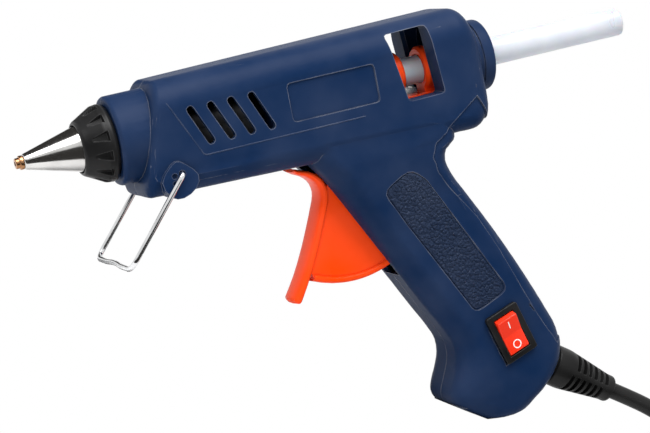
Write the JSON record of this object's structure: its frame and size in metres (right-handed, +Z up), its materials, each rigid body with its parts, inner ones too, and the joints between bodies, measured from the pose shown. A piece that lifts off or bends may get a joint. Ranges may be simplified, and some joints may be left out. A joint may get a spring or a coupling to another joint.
{
  "type": "hot glue gun",
  "caption": "Pistol-shaped hot glue gun on a fold-out wire stand, with a trigger that feeds its glue stick, a rocker switch and a mains cord that lies folded in a hank, with a flat plug.",
  "frame": {"origin": "on the table, under the middle of the gun's bounding box (without the cord)", "axes": "+Z up from the table, +X rearward from the nozzle to the handle and cord, +Y to the gun's right-hand side"},
  "size_m": [0.5976, 0.0488, 0.176],
  "materials": {
    "housing": "satin moulded, dark blue",
    "orange": "moulded, bright orange",
    "black_plastic": "satin moulded, black",
    "black_rubber": "soft PVC, black",
    "red_plastic": "moulded, red",
    "glue": "cloudy hot-melt glue",
    "chrome": "polished plate",
    "brass": "turned",
    "steel": "zinc-plated",
    "aluminium": "die cast",
    "silicone": "heat-proof silicone",
    "ceramic": "insulated heating plate",
    "lead_brown": "wire sleeving, brown",
    "lead_blue": "wire sleeving, blue"
  },
  "bodies": {
    "gun": {"housing_left": "housing", "housing_right": "housing", "guide_ring": "housing", "nozzle_tip": "brass", "nozzle_cone": "chrome", "check_ball": "steel", "check_spring": "steel", "nozzle_collar": "black_plastic", "melt_chamber": "aluminium", "heater_plate": "ceramic", "heater_clip": "steel", "inlet_sleeve": "silicone", "sleeve_clip": "steel", "trigger_pin": "steel", "return_spring": "steel", "switch_body": "black_plastic", "switch_terminal_1": "brass", "switch_terminal_2": "brass", "strain_relief": "black_rubber", "inner_cord": "black_rubber", "cord_clamp": "black_plastic", "clamp_screw_1": "steel", "clamp_screw_2": "steel", "lead_to_switch": "lead_brown", "lead_switched": "lead_brown", "lead_return": "lead_blue", "cord_run": "black_rubber", "cord_hank": "black_rubber", "cord_tie": "black_rubber", "plug_body": "black_rubber", "plug_pin_1": "brass", "plug_pin_2": "brass", "housing_screw_1": "steel", "housing_screw_2": "steel", "housing_screw_3": "steel", "housing_screw_4": "steel", "housing_screw_5": "steel", "housing_screw_6": "steel"},
    "trigger": {"trigger": "orange", "drive_pin": "steel"},
    "slide": {"feed_slide": "orange", "jaw_pin": "steel"},
    "jaw": {"grip_jaw": "orange"},
    "stick": {"glue_stick": "glue"},
    "rocker": {"switch_rocker": "red_plastic"},
    "stand": {"wire_stand": "chrome"}
  },
  "joints": [
    {"name": "trigger_pivot", "type": "hinge", "parent": "gun", "child": "trigger", "pos_m": [-0.01507, 0, 0.06515], "axis": [0, -1, 0], "range_deg": [0, 24], "stiffness_Nm_per_rad": 0.6, "springref_deg": -20.05},
    {"name": "slide_feed", "type": "slide", "parent": "gun", "child": "slide", "axis": [-0.8141, 0, -0.5807], "range_m": [0, 0.00852], "deforming": ["return_spring"]},
    {"name": "jaw_bite", "type": "hinge", "parent": "slide", "child": "jaw", "pos_m": [0.00423, 0, 0.10594], "axis": [0, 1, 0], "range_deg": [0, 6]},
    {"name": "stick_feed", "type": "slide", "parent": "gun", "child": "stick", "axis": [0.8141, 0, 0.5807], "range_m": [-0.012, 0.06]},
    {"name": "rocker_press", "type": "hinge", "parent": "gun", "child": "rocker", "pos_m": [0.07422, -0.0169, 0.03513], "axis": [-0.6115, 0, -0.7912], "range_deg": [0, 16]},
    {"name": "stand_fold", "type": "hinge", "parent": "gun", "child": "stand", "pos_m": [-0.07944, 0, 0.04123], "axis": [0, -1, 0], "range_deg": [0, 115]}
  ],
  "couplings": [
    {"joint": "slide_feed", "follows": "trigger_pivot", "m_per_rad": 0.02034},
    {"joint": "jaw_bite", "follows": "trigger_pivot", "ratio": 0.25}
  ]
}
